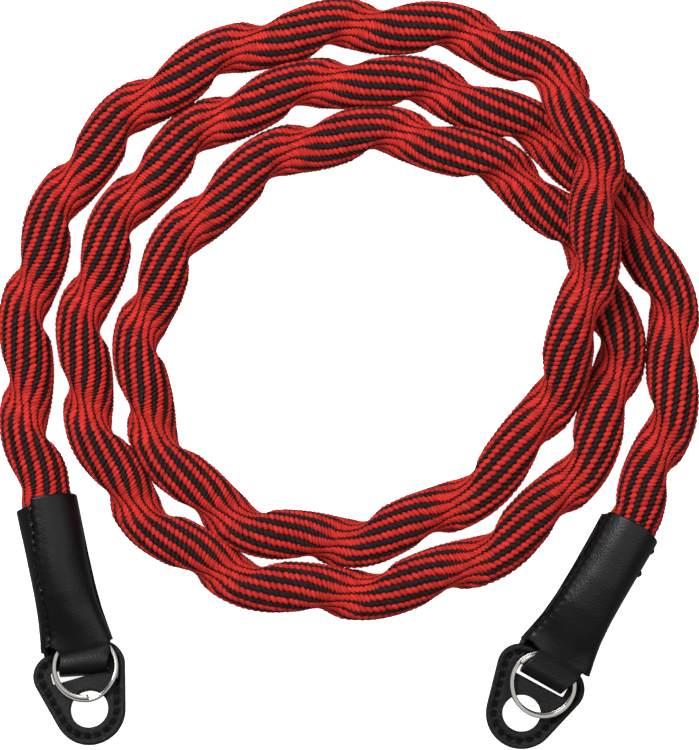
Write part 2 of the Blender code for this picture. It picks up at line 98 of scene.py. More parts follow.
sleeve = {
    "length": 32.7 * mm,
    "mouthRadius": 6.9 * mm,
    "endHeight": 8.4 * mm,
    "wall": 1.3 * mm,
    "squareness": 1.6,
    "sections": (   # along, share of the way to the end's width, to the end's height
        (0.00, 0.00, 0.00), (0.15, -0.04, 0.01), (0.40, -0.08, 0.08), (0.62, -0.02, 0.30),
        (0.78, 0.22, 0.58), (0.90, 0.62, 0.83), (1.00, 1.00, 1.00)),
}

ends = {   # where each leather end lies, and how its ring and guard hang from the tab
    "left": {
        "mouth": Vector((-66.7, -27.8, 0.0)) * mm, "heading": math.radians(-78.3),
        "endWidth": 16.2 * mm, "mouthLean": 1.5 * mm, "mouthNotch": 1.2 * mm,
        "guardShift": -1.0 * mm, "guardTurn": math.radians(4.5), "guardLift": math.radians(14.0),
        "ringReach": 5.3 * mm, "ringShift": 0.9 * mm, "ringTurn": math.radians(40),
        "coilLean": math.radians(150),   # way in which the ring's upper coil is shifted
        "tabReach": 5.7 * mm, "tabRootShift": 1.7 * mm, "tabFoldShift": 0.0, "tabSkew": 0.75 * mm,
        "seamShares": (-0.47, -0.65, -0.70, -0.72), "curl": 0.55 * mm, "curlCut": 1.1 * mm,
        "knots": (),
    },
    "right": {
        "mouth": Vector((61.5, -33.8, 0.0)) * mm, "heading": math.radians(-119.7),
        "endWidth": 17.4 * mm, "mouthLean": 1.9 * mm, "mouthNotch": 0.0,
        "guardShift": -0.5 * mm, "guardTurn": math.radians(1.5), "guardLift": math.asin(-1.4 / 16.65),
        "ringReach": 5.7 * mm, "ringShift": 0.5 * mm, "ringTurn": math.radians(-60),
        "coilLean": math.radians(60),
        "tabReach": 5.25 * mm, "tabRootShift": 1.0 * mm, "tabFoldShift": -0.1 * mm, "tabSkew": 0.0,
        "seamShares": (-0.93, -0.94, -0.95, -0.95), "curl": 0.30 * mm, "curlCut": 0.6 * mm,
        "knots": ((66.2, -38.6), (63.4, -43.6)),
    },
}


def headingVector(angle):
    return Vector((math.cos(angle), math.sin(angle), 0.0))


def sleeveShape(end, along):   # half width, half height and squareness, along from 0 to 1
    stations, widening, flattening = np.array(sleeve["sections"]).T
    wide, flat = np.interp(along, stations, widening), np.interp(along, stations, flattening)
    mouth = sleeve["mouthRadius"]
    return (mouth + wide * (end["endWidth"] / 2 - mouth),
            mouth + flat * (sleeve["endHeight"] / 2 - mouth), 2 + sleeve["squareness"] * flat)


def roundedSection(angle, halfWidth, halfHeight, squareness):
    across, up = np.cos(angle), np.sin(angle)
    reach = (np.abs(across)**squareness + np.abs(up)**squareness)**(-1 / squareness)
    return halfWidth * across * reach, halfHeight * up * reach


def naturalSpline(knots, values, places):   # smooth curve through the values, straight at both ends
    count = len(knots)
    spans = np.diff(knots)
    system = np.eye(count)
    bends = np.zeros_like(values)
    for i in range(1, count - 1):
        system[i, i - 1:i + 2] = spans[i - 1], 2 * (spans[i - 1] + spans[i]), spans[i]
        bends[i] = 6 * ((values[i + 1] - values[i]) / spans[i] - (values[i] - values[i - 1]) / spans[i - 1])
    curvature = np.linalg.solve(system, bends)
    at = np.clip(np.searchsorted(knots, places, side="right") - 1, 0, count - 2)
    span = spans[at][:, None]
    before = (places - knots[at])[:, None]
    after = span - before
    cubic = (curvature[at] * after**3 + curvature[at + 1] * before**3) / (6 * span)
    start = (values[at] / span - curvature[at] * span / 6) * after
    return cubic + start + (values[at + 1] / span - curvature[at + 1] * span / 6) * before


def cordRun():   # distance from the left mouth, centre and groove turns every millimetre
    def tucked(end, share):
        depth = share * cord["tuck"]
        height = sleeveShape(end, depth / sleeve["length"])[1]
        place = end["mouth"] + headingVector(end["heading"]) * depth
        return (place.x, place.y, height, 0.0)

    points = [tucked(ends["left"], share) for share in (1.0, 0.5, 0.0)]
    for turned, radius, height, lead in cord["route"]:
        place = cord["coilCentre"] + headingVector(math.radians(turned)) * radius * mm
        points.append((place.x, place.y, cord["lobeRadius"] + height * cord["thickness"], lead))
    points += [tucked(ends["right"], share) for share in (0.0, 0.5, 1.0)]
    points = np.array(points)
    knots = np.concatenate([[0], np.cumsum(np.linalg.norm(np.diff(points[:, :3], axis=0), axis=1))])
    places = np.arange(0, knots[-1], mm)
    run = naturalSpline(knots, points, places)
    loose = (places > cord["tuck"]) & (places < knots[-1] - cord["tuck"])
    run[loose, 2] = np.maximum(run[loose, 2], cord["lobeRadius"])
    steps = np.linalg.norm(np.diff(run[:, :3], axis=0), axis=1)
    travelled = np.concatenate([[0], np.cumsum(steps)]) - cord["tuck"]
    turns = (travelled - cord["firstCrease"]) / cord["groovePitch"] + run[:, 3]
    return travelled, run[:, :3], turns


travelled, centres, turns = cordRun()
looseLength = travelled[-1] - cord["tuck"]
tangents = np.gradient(centres, travelled, axis=0)
tangents /= np.linalg.norm(tangents, axis=1)[:, None]
inwards = np.cross(tangents, (0, 0, 1))
inwards /= np.linalg.norm(inwards, axis=1)[:, None]
upwards = np.cross(inwards, tangents)
insides = np.maximum(-travelled, travelled - looseLength)
squeezes = np.clip(1 + insides / cord["narrowing"], 0, 1)
squeezes = squeezes**2 * (3 - 2 * squeezes)
sleeveSizes = np.array([sleeveShape(ends["left"] if at < looseLength / 2 else ends["right"],
                                    max(inside, 0) / sleeve["length"])
                        for at, inside in zip(travelled, insides)])


def cordSurface(angle, phase, height):
    # Places on the braid: angle round the cord from its inner side over its top, unwrapped phase
    # of the groove, and height over the braid's own surface
    turn = phase + angle / (2 * math.pi)
    at = np.interp(turn, turns, travelled)
    pick = lambda values: np.stack([np.interp(at, travelled, values[:, k]) for k in range(3)], -1)
    centre, inward, upward, size = pick(centres), pick(inwards), pick(upwards), pick(sleeveSizes)
    shape, depth = np.array(cord["grooveShape"]).T
    radius = cord["lobeRadius"] - cord["grooveDepth"] * np.interp(phase % 1, shape, depth, period=1)
    squeeze = np.interp(at, travelled, squeezes)
    wall = sleeve["wall"] + gap
    across, rise = roundedSection(angle, size[..., 0] - wall, size[..., 1] - wall, size[..., 2])
    across = across * squeeze + radius * np.cos(angle) * (1 - squeeze) + height * np.cos(angle)
    rise = rise * squeeze + radius * np.sin(angle) * (1 - squeeze) + height * np.sin(angle)
    return centre + inward * across[..., None] + upward * rise[..., None]


def linearColour(code):   # sRGB hex to linear
    parts = [int(code[i:i + 2], 16) / 255 for i in (0, 2, 4)]
    return tuple(c / 12.92 if c <= 0.04045 else ((c + 0.055) / 1.055)**2.4 for c in parts) + (1.0,)


def addNode(tree, kind, settings=None, links=None):
    node = tree.nodes.new(kind)
    for key, value in (settings or {}).items():
        if key in node.inputs.keys() or isinstance(key, int):
            node.inputs[key].default_value = value
        else:
            setattr(node, key, value)
    for key, source in (links or {}).items():
        tree.links.new(source, node.inputs[key])
    return node


def newMaterial(name, settings):
    material = bpy.data.materials.new(name)
    material.use_nodes = True
    shader = material.node_tree.nodes["Principled BSDF"]
    for key, value in settings.items():
        shader.inputs[key].default_value = value
    return material, material.node_tree, shader


def selectOnly(piece):
    bpy.ops.object.select_all(action="DESELECT")
    piece.select_set(True)
    bpy.context.view_layer.objects.active = piece


def turnOutwards(piece):   # makes every face look outwards
    selectOnly(piece)
    bpy.ops.object.mode_set(mode="EDIT")
    bpy.ops.mesh.select_all(action="SELECT")
    bpy.ops.mesh.normals_make_consistent(inside=False)
    bpy.ops.object.mode_set(mode="OBJECT")


def selectCorners(piece, chosen):   # in edit mode: the corners that pass a test, and what they span
    bpy.ops.mesh.select_all(action="DESELECT")
    sheet = bmesh.from_edit_mesh(piece.data)
    for vert in sheet.verts:
        vert.select = bool(chosen(vert))
    sheet.select_flush(True)
    bmesh.update_edit_mesh(piece.data)


def applyModifier(piece, kind, settings):
    selectOnly(piece)
    modifier = piece.modifiers.new(kind.lower(), kind)
    for key, value in settings.items():
        setattr(modifier, key, value)
    bpy.ops.object.modifier_apply(modifier=modifier.name)


def meshVectors(piece, kind):   # "co" for the places of all corners, "normal" for their normals
    values = np.empty(len(piece.data.vertices) * 3)
    piece.data.vertices.foreach_get(kind, values)
    return values.reshape(-1, 3)


def placePoints(piece, points):
    piece.data.vertices.foreach_set("co", np.ascontiguousarray(points).ravel())
    piece.data.update()


def bell(distance, width):
    return np.exp(-(distance / width)**2)


def ease(values, low, high):   # smooth step from 0 at low to 1 at high
    share = np.clip((values - low) / (high - low), 0, 1)
    return share**2 * (3 - 2 * share)


camera = {"frameHeight": 165.0 * mm, "lens": 200.0, "sensor": 36.0, "focusHeight": 6.0 * mm}
lensData = bpy.data.cameras.new("topCamera")
lensData.lens = camera["lens"]
lensData.sensor_width = camera["sensor"]
lensData.dof.use_dof = False
cameraObject = bpy.data.objects.new("topCamera", lensData)
cameraHeight = camera["frameHeight"] * camera["lens"] / camera["sensor"]
cameraObject.location = (0, 0, cameraHeight + camera["focusHeight"])
studio.link(cameraObject)
bpy.context.scene.camera = cameraObject

lights = (   # name, place, size (m), power (W), all white
    ("keyPanel", (-0.38, 0.42, 0.70), 0.34, 9.6),
    ("fillPanel", (0.55, -0.10, 0.60), 0.60, 2.2),
    ("topPanel", (0.0, 0.0, 1.10), 0.90, 3.9),
)
for name, place, size, power in lights:
    data = bpy.data.lights.new(name, "AREA")
    data.size = size
    data.energy = power
    panel = bpy.data.objects.new(name, data)
    panel.location = place
    towards = Vector((0, 0, 0)) - Vector(place)
    panel.rotation_euler = towards.to_track_quat("-Z", "Y").to_euler()
    studio.link(panel)

world = bpy.data.worlds.new("studio")
world.use_nodes = True
background = world.node_tree.nodes["Background"]
background.inputs["Color"].default_value = (1, 1, 1, 1)
background.inputs["Strength"].default_value = 0.22
bpy.context.scene.world = world
bpy.context.scene.view_settings.view_transform = "Standard"

# Translucent white acrylic over a weak lamp: it keeps the shadows between the coils pale
floorMaterial = newMaterial("backlitWhiteAcrylic", {
    "Base Color": linearColour("FBFBFB"), "Roughness": 0.9,
    "Emission Color": (1, 1, 1, 1), "Emission Strength": 0.85})[0]
bpy.ops.mesh.primitive_plane_add(size=3.0, location=(0, 0, 0))
floor = bpy.context.active_object
floor.name = "acrylicFloor"
floor.data.materials.append(floorMaterial)
floor.visible_diffuse = False
floor.visible_glossy = False
print("camera, light and floor ready")

braid = {
    "stripes": 12,
    "rowsPerPitch": 25,
    "coreInset": 0.35 * mm,
    "coreSides": 36,
    "coreRings": 24,        # round the core for each turn of the groove
    "endMargin": 0.62,      # turns of the groove left bare of stitches, deep in the sleeves
    "shoulder": 0.64,       # a stitch's dome turns inward here, as a share of its outline
    "blackHeight": 0.72,    # the black stitches lie lower than the red ones
    "sway": 0.035,          # how far stitches stray, in rows
    "seeds": {"red": 7, "black": 11},
    "stripeDrift": (   # phase, turn of a stripe about the cord in degrees
        (0.0, 0.0), (0.25, 3.0), (0.33, -3.0), (0.42, -10.0), (0.55, -17.0), (0.75, -17.5),
        (0.95, -15.0), (1.0, -16.0)),
    "driftPerPitch": -16.0,
    "rowPlaces": (   # phase, rows so far
        (0.0, 0.0), (0.30, 9.5), (0.40, 12.3), (1.0, 25.0)),
    "blackShare": (   # phase, share of the stripes' pitch that is black
        (0.0, 0.44), (0.04, 0.28), (0.12, 0.23), (0.28, 0.23), (0.335, 0.27), (0.37, 0.40),
        (0.45, 0.46), (0.8, 0.48), (0.96, 0.48)),
    "bump": (   # phase, height of a stitch in mm
        (0.0, 0.40), (0.08, 0.20), (0.28, 0.20), (0.38, 0.46), (0.7, 0.58), (0.95, 0.52)),
    "stretch": ((0.0, 1.08), (0.08, 1.28), (0.28, 1.28), (0.40, 1.06), (0.7, 1.03), (0.95, 1.03)),
    # outline of a stitch seen from above: across the stripe, along it in rows
    "redOutline": ((1.0, 0.0), (0.52, 0.49), (0.0, 0.69), (-0.52, 0.49), (-1.0, 0.0),
                   (-0.52, -0.49), (0.0, -0.69), (0.52, -0.49)),
    "blackOutline": ((1.0, 0.0), (0.45, 0.54), (-0.45, 0.54), (-1.0, 0.0), (-0.45, -0.54),
                     (0.45, -0.54)),
    "redReach": 1.42,
    "blackReach": 1.22,
    "blackFill": ((0.0, 0.8), (0.08, 0.5), (0.28, 0.5), (0.38, 1.0), (0.95, 1.0)),   # thin in the creases
    "slant": ((0.0, -0.95), (0.08, -1.35), (0.28, -1.35), (0.38, -1.0), (1.0, -0.95)),   # rows
}


def buildMesh(name, verts, faces, material):
    mesh = bpy.data.meshes.new(name)
    mesh.from_pydata(verts, [], faces)
    mesh.materials.append(material)
    mesh.shade_smooth()
    piece = bpy.data.objects.new(name, mesh)
    studio.link(piece)
    return piece


def stitchTemplate(outline, shoulder):
    # Low dome on a flat foot: rim, shoulder and crown
    flat = np.array(outline)
    sides = len(flat)
    rim = np.column_stack([flat, np.full(sides, -0.35)])
    upper = np.column_stack([shoulder * flat, np.full(sides, 0.70)])
    verts = np.concatenate([rim, upper, [[0, 0, 1.0]]])
    faces = [tuple(reversed(range(sides)))]
    for i in range(sides):
        j = (i + 1) % sides
        faces += [(i, j, sides + j, sides + i), (sides + i, sides + j, 2 * sides)]
    return verts, faces


def stripePlace(row, stripe):   # angle and unwrapped phase of a spot on the knit
    rowPhase, rowCount = np.array(braid["rowPlaces"]).T
    whole = np.floor(row / braid["rowsPerPitch"])
    part = np.interp(row - whole * braid["rowsPerPitch"], rowCount, rowPhase)
    driftPhase, drift = np.array(braid["stripeDrift"]).T
    turned = np.interp(part, driftPhase, drift) + whole * braid["driftPerPitch"]
    spacing = 2 * math.pi / braid["stripes"] * (1 + braid["driftPerPitch"] / 360)
    return spacing * stripe + np.radians(turned), whole + part


def makeStitches(colour, material, parts):
    verts, faces = stitchTemplate(braid[colour + "Outline"], braid["shoulder"])
    shift = 0.5 if colour == "black" else 0.0   # black rows and stripes lie between the red ones
    rows = np.arange(math.floor(turns[0] - 1) * braid["rowsPerPitch"],
                     math.ceil(turns[-1] + 1) * braid["rowsPerPitch"]) + shift
    row, stripe = [grid.ravel() for grid in
                   np.meshgrid(rows, np.arange(braid["stripes"]) + shift, indexing="ij")]
    angle, phase = stripePlace(row, stripe)
    turn = phase + angle / (2 * math.pi)
    keep = (turn > turns[0] + braid["endMargin"]) & (turn < turns[-1] - braid["endMargin"])
    order = np.flatnonzero(keep)[np.argsort(turn[keep], kind="stable")]
    row, stripe, phase = row[order], stripe[order], phase[order]
    along = lambda table: np.interp(phase % 1, *np.array(braid[table]).T, period=1)
    share = along("blackShare") if colour == "black" else 1 - along("blackShare")
    width = share * 0.5 * braid[colour + "Reach"]
    height = along("bump") * mm
    if colour == "black":
        width = width * along("blackFill")
        height = height * braid["blackHeight"] * along("blackFill")
    rng = np.random.default_rng(braid["seeds"][colour])
    tone = rng.uniform(0, 1, len(row))
    sway = rng.normal(0, braid["sway"], (len(row), 2))
    across = verts[None, :, 0] * width[:, None]
    lean = along("slant") * (braid[colour + "Reach"] * share / 0.7)   # a wider stitch leans over more rows
    ahead = verts[None, :, 1] * along("stretch")[:, None] + lean[:, None] * verts[None, :, 0]
    spotAngle, spotPhase = stripePlace(row[:, None] + ahead + sway[:, :1],
                                       stripe[:, None] + across + sway[:, 1:] * 0.5)
    places = cordSurface(spotAngle, spotPhase, verts[None, :, 2] * height[:, None])
    places[..., 2] = np.maximum(places[..., 2], 0)   # pressed flat where the cord rests
    count, size = len(row), len(verts)
    pieces = []
    for part in range(parts):
        low, high = count * part // parts, count * (part + 1) // parts
        allFaces = [tuple(k * size + v for v in face) for k in range(high - low) for face in faces]
        piece = buildMesh("%sYarn%d" % (colour, part + 1), places[low:high].reshape(-1, 3).tolist(),
                          allFaces, material)
        shade = piece.data.attributes.new("tone", "FLOAT", "POINT")
        shade.data.foreach_set("value", np.repeat(tone[low:high], size).astype(np.float32))
        pieces.append(piece)
    return pieces


def yarnMaterial(name, dark, light, rough, sheen):
    # Matt spun polyester: fibre fuzz, and a slightly different shade from stitch to stitch
    material, tree, shader = newMaterial(name, {
        "Roughness": rough, "Sheen Weight": sheen, "Sheen Roughness": 0.5, "Specular IOR Level": 0.18})
    where = addNode(tree, "ShaderNodeTexCoord")
    tone = addNode(tree, "ShaderNodeAttribute", {"attribute_name": "tone"})
    fibre = addNode(tree, "ShaderNodeTexNoise", {"Scale": 5200.0, "Detail": 3.0, "Roughness": 0.65},
                    {"Vector": where.outputs["Object"]})   # 0.2 mm, the width of a few fibres
    blend = addNode(tree, "ShaderNodeMath", {"operation": "MULTIPLY_ADD", 1: 0.35},
                    {0: tone.outputs["Fac"], 2: fibre.outputs["Fac"]})
    reach = addNode(tree, "ShaderNodeMapRange", {"From Min": 0.35, "From Max": 1.0},
                    {"Value": blend.outputs[0]})
    colours = addNode(tree, "ShaderNodeMix", {"data_type": "RGBA", 6: linearColour(dark),
                                              7: linearColour(light)}, {0: reach.outputs[0]})
    bump = addNode(tree, "ShaderNodeBump", {"Strength": 0.4, "Distance": 0.00014},
                   {"Height": fibre.outputs["Fac"]})
    tree.links.new(colours.outputs[2], shader.inputs["Base Color"])
    tree.links.new(bump.outputs["Normal"], shader.inputs["Normal"])
    return material


redYarn = yarnMaterial("redSpunPolyester", "8E1612", "CC2A22", 0.75, 0.02)
blackYarn = yarnMaterial("blackSpunPolyester", "100A0B", "221A1B", 0.8, 0.02)
# The core yarn is coloured far darker than the red: painted shade for the deep gaps between the stitches
coreYarnInPaintedShade = yarnMaterial("shadedYarnCore", "440608", "640B0E", 0.95, 0.0)


def makeCore():
    count, perTurn = braid["coreSides"], braid["coreRings"]
    turn = np.arange(math.ceil(turns[0] * perTurn), math.floor(turns[-1] * perTurn) + 1) / perTurn
    angle = np.arange(count) * 2 * math.pi / count
    ringAngle = np.broadcast_to(angle, (len(turn), count))
    places = cordSurface(ringAngle, turn[:, None] - ringAngle / (2 * math.pi),
                         np.full(ringAngle.shape, -braid["coreInset"]))
    faces = []
    for i in range(len(turn) - 1):
        for j in range(count):
            k = (j + 1) % count
            faces.append((i * count + j, i * count + k, (i + 1) * count + k, (i + 1) * count + j))
    faces.append(tuple(range(count)))
    faces.append(tuple(reversed(range((len(turn) - 1) * count, len(turn) * count))))
    piece = buildMesh("braidCore", places.reshape(-1, 3).tolist(), faces, coreYarnInPaintedShade)
    turnOutwards(piece)
    return piece


core = makeCore()
print("core of the braid ready")
redStitches = makeStitches("red", redYarn, 2)
blackStitches = makeStitches("black", blackYarn, 2)
print("stitches ready")

for piece in [core] + redStitches + blackStitches:
    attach(piece, "root")
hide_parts("strap_cord")
print("cord laid, %.3f m loose" % looseLength)


def leatherMaterial(name, dark, light, rough, grain, depth, shine):
    # Chrome-tanned cowhide dyed black through: fine grain, and a soft sheen that wear leaves uneven
    material, tree, shader = newMaterial(name, {"Specular IOR Level": shine})
    where = addNode(tree, "ShaderNodeTexCoord")
    pebble = addNode(tree, "ShaderNodeTexVoronoi", {"Scale": 1 / (grain * mm), "Randomness": 1.0},
                     {"Vector": where.outputs["Object"]})
    crease = addNode(tree, "ShaderNodeTexNoise", {"Scale": 900.0, "Detail": 6.0, "Roughness": 0.7},
                     {"Vector": where.outputs["Object"]})   # 1 mm creases of handled leather
    cloud = addNode(tree, "ShaderNodeTexNoise", {"Scale": 230.0, "Detail": 4.0},
                    {"Vector": where.outputs["Object"]})   # 4 mm clouds of wear
    colours = addNode(tree, "ShaderNodeMix", {"data_type": "RGBA", 6: linearColour(dark),
                                              7: linearColour(light)}, {0: cloud.outputs["Fac"]})
    gloss = addNode(tree, "ShaderNodeMapRange", {"To Min": rough - 0.07, "To Max": rough + 0.12},
                    {"Value": crease.outputs["Fac"]})
    relief = addNode(tree, "ShaderNodeMath", {"operation": "MULTIPLY_ADD", 1: 0.8},
                     {0: crease.outputs["Fac"], 2: pebble.outputs["Distance"]})
    bump = addNode(tree, "ShaderNodeBump", {"Strength": 0.6, "Distance": depth},
                   {"Height": relief.outputs[0]})
    tree.links.new(colours.outputs[2], shader.inputs["Base Color"])
    tree.links.new(gloss.outputs[0], shader.inputs["Roughness"])
    tree.links.new(bump.outputs["Normal"], shader.inputs["Normal"])
    return material


sleeveLeather = leatherMaterial("blackDyedCowhide", "060607", "0E0E0F", 0.36, 0.42, 0.00007, 0.20)
guardLeather = leatherMaterial("mattBlackCowhide", "0A090A", "1A1819", 0.48, 0.36, 0.00022, 0.15)
# The cut edge is lighter than the grain side: partly the raw edge's own tone, partly a painted highlight
# along the curled edge
cutEdgeAndPaintedHighlight = leatherMaterial("cutLeatherEdgeAndPaintedHighlight", "1D1A18", "47423C", 0.8, 0.25, 0.00012, 0.15)
blackThread = yarnMaterial("waxedBlackThread", "020202", "060606", 0.9, 0.0)


def steelMaterial():
    # Nickel-plated spring steel, drawn and barrel polished: bright, with fine scratches all over
    material, tree, shader = newMaterial("nickelPlatedSpringSteel", {
        "Base Color": linearColour("8C8985"), "Metallic": 1.0})
    where = addNode(tree, "ShaderNodeTexCoord")
    scratch = addNode(tree, "ShaderNodeTexNoise", {"Scale": 3000.0, "Detail": 4.0, "Distortion": 1.5},
                      {"Vector": where.outputs["Object"]})   # 0.3 mm scuffs, as coarse as shows
    gloss = addNode(tree, "ShaderNodeMapRange", {"To Min": 0.08, "To Max": 0.24},
                    {"Value": scratch.outputs["Fac"]})
    bump = addNode(tree, "ShaderNodeBump", {"Strength": 0.03, "Distance": 0.00002},
                   {"Height": scratch.outputs["Fac"]})
    tree.links.new(gloss.outputs[0], shader.inputs["Roughness"])
    tree.links.new(bump.outputs["Normal"], shader.inputs["Normal"])
    return material


ringSteel = steelMaterial()

guard = {
    "thickness": 2.4 * mm, "holeRadius": 4.2 * mm, "noseRadius": 7.9 * mm, "cornerRadius": 5.0 * mm,
    "width": 20.6 * mm, "shoulder": 14.0 * mm, "slot": (2.9 * mm, 12.8 * mm, 8.0 * mm),
    "slotToHole": 7.3 * mm, "slotCorner": 1.1 * mm, "voxel": 0.2 * mm, "rounding": 5, "worn": 0.05,
    "seamInset": 1.75 * mm, "stitchSpacing": 2.3 * mm, "stitch": (1.4 * mm, 0.66 * mm),
    "stitchSunk": 0.42 * mm, "stitchLean": math.radians(24), "middle": (9.5 * mm, 0.0),
    "groove": (0.12, 0.42 * mm),        # depth in mm and width of the line of stitches
    "stitchDent": (0.72, 0.54 * mm), "dentLength": 1.7, "dentSlant": 0.4,   # depth in mm, width
    "rim": (0.07, 0.8 * mm, 0.5 * mm),  # height in mm, inset and width of the raised rim
    "layerLine": (0.16 * mm, 0.22 * mm),   # depth and width of the line between the two layers
}
tab = {
    "thickness": 1.1 * mm, "rootWidth": 11.4 * mm, "foldWidth": 10.2 * mm,
    "crest": 2.2 * mm, "overRing": 5.35 * mm, "step": 0.55 * mm, "inSlot": (5.0 * mm, 5.3 * mm),
}


def endMatrix(end):   # from the sleeve's flat end: x onwards, y to the right, z up
    flatEnd = end["mouth"] + headingVector(end["heading"]) * sleeve["length"]
    return Matrix.Translation(flatEnd) @ Matrix.Rotation(end["heading"], 4, "Z")


def guardSeat(end):
    turn = end["guardTurn"]
    swing = tab["inSlot"][0] * (1 - math.cos(turn)) + tab["inSlot"][1] * abs(math.sin(turn))
    drop = max(0.0, -math.sin(end["guardLift"])) * end["tabReach"]
    return gap + swing, tab["thickness"] + gap + drop


def guardPlace(end, reach, rise):   # side view of a spot so far along the guard and above it
    lift, seat = end["guardLift"], guardSeat(end)
    return np.array((seat[0] + reach * math.cos(lift) - rise * math.sin(lift),
                     seat[1] + reach * math.sin(lift) + rise * math.cos(lift)))


def guardMatrix(end):
    reach, height = guardSeat(end)
    return (endMatrix(end) @ Matrix.Translation((reach, end["guardShift"], height))
            @ Matrix.Rotation(end["guardTurn"], 4, "Z") @ Matrix.Rotation(-end["guardLift"], 4, "Y"))


def drawOut(name, sides, rings):
    # A circle drawn out ring by ring; its corners keep their numbers in x, y and z
    bpy.ops.mesh.primitive_circle_add(vertices=sides, radius=1.0)
    piece = bpy.context.active_object
    piece.name = piece.data.name = name
    bpy.ops.object.mode_set(mode="EDIT")
    bpy.ops.mesh.select_all(action="SELECT")
    for count in range(rings - 1):
        bpy.ops.mesh.extrude_region_move(TRANSFORM_OT_translate={"value": (0, 0, 1)})
    bpy.ops.object.mode_set(mode="OBJECT")
    return piece


def cornerNumbers(piece, sides):
    points = meshVectors(piece, "co")
    side = np.round(np.arctan2(points[:, 1], points[:, 0]) / (2 * math.pi) * sides).astype(int) % sides
    return side, np.round(points[:, 2]).astype(int)


def roundedRoute(corners, step):
    # Straight runs between corners, each corner rounded by its own radius, then evenly spaced
    places = [np.array(place) for place, radius in corners]
    route = [places[0]]
    for before, (place, radius), after in zip(places, corners[1:-1], places[2:]):
        place = np.array(place)
        come = (before - place) / np.linalg.norm(before - place)
        leave = (after - place) / np.linalg.norm(after - place)
        half = math.acos(float(np.clip(come @ leave, -1, 1))) / 2
        if math.cos(half) < 0.01:   # nearly straight on
            route.append(place)
            continue
        offset = radius / math.tan(half)
        centre = place + (come + leave) / np.linalg.norm(come + leave) * radius / math.sin(half)
        whole = math.pi - 2 * half
        for share in np.linspace(0, 1, 12):
            weights = math.sin((1 - share) * whole), math.sin(share * whole)
            route.append(centre + ((place + come * offset - centre) * weights[0]
                                   + (place + leave * offset - centre) * weights[1]) / math.sin(whole))
    route.append(places[-1])
    route = np.array(route)
    run = np.concatenate([[0], np.cumsum(np.linalg.norm(np.diff(route, axis=0), axis=1))])
    places = np.linspace(0, run[-1], int(run[-1] / step))
    return np.column_stack([np.interp(places, run, route[:, k]) for k in range(2)])


def tabLine(end):   # outer side of the tab from the side: over the ring, down the slot, back below
    half = tab["thickness"] / 2
    wallMiddle = sleeve["endHeight"] - 0.65 * mm
    below = guardPlace(end, end["tabReach"], -gap - half)
    line = roundedRoute((
        ((-1.6 * mm, wallMiddle + 0.4 * mm), 0),
        ((0.0, wallMiddle), 3.0 * mm),
        (guardPlace(end, tab["crest"], tab["overRing"] + 0.15 * mm), 3.0 * mm),
        (guardPlace(end, end["tabReach"], tab["overRing"]), 2.0 * mm),
        ((below[0], max(below[1], 0.6 * mm)), 0.9 * mm),
        ((1.1 * mm, 0.6 * mm), 0.9 * mm),
        ((-1.6 * mm, 0.6 * mm), 0)), tab["step"])
    ahead = np.gradient(line, axis=0)
    ahead /= np.linalg.norm(ahead, axis=1)[:, None]
    outer = line + np.column_stack([-ahead[:, 1], ahead[:, 0]]) * half
    first = int(np.argmax(line[:, 0] > 0.35 * mm))
    return outer[first:]


def seamAcross(end, x, halfWidth):   # the seam wanders a little on its way down
    share = np.interp(x / sleeve["length"] + 1, (0.0, 0.36, 0.6, 1.0), end["seamShares"])
    return share * halfWidth + 0.16 * mm * np.sin(x / mm * 0.42) + 0.10 * mm * np.sin(x / mm * 1.3)


sleeveWork = {   # the sleeve's mesh, and the marks that cutting, sewing and wear leave on it
    "sides": 96, "rings": 50, "leather": 1.15 * mm, "edgeCrease": 0.55,
    "mouthFade": 7.0 * mm, "endFade": 5.0 * mm, "curlRun": 1.5 * mm, "tabFade": 4.0 * mm,
    "undercut": 3.2 * mm, "undercutFrom": (3.4 * mm, 4.4 * mm),
    "seamDepth": 0.62, "seamWidth": 0.38 * mm, "pucker": 1.8 * mm, "puckerShare": 0.35,
    "seamRidge": (0.14, 1.1 * mm, 0.7 * mm),   # height in mm, distance from the seam, width
    "lapDepth": 0.18, "creaseHeight": 0.03, "creaseRun": 3.2 * mm,
}
sleeveDents = {   # along from the flat end and across in mm, size in mm, depth in mm
    "left": ((-5.0, -3.9, 4.0, 0.50), (-9.5, 5.0, 5.5, 0.60), (-18.5, 5.0, 5.5, 0.45),
             (-23.5, -1.6, 6.5, -0.30), (-15.0, -1.2, 6.0, -0.65), (-7.0, 0.2, 4.5, -0.50)),
    "right": ((-4.0, -4.2, 3.6, 0.45), (-4.5, 5.2, 3.6, 0.40), (-12.0, 3.4, 6.0, 0.22),
              (-21.0, -2.6, 6.5, 0.25), (-14.0, -4.0, 4.5, -0.12)),
}


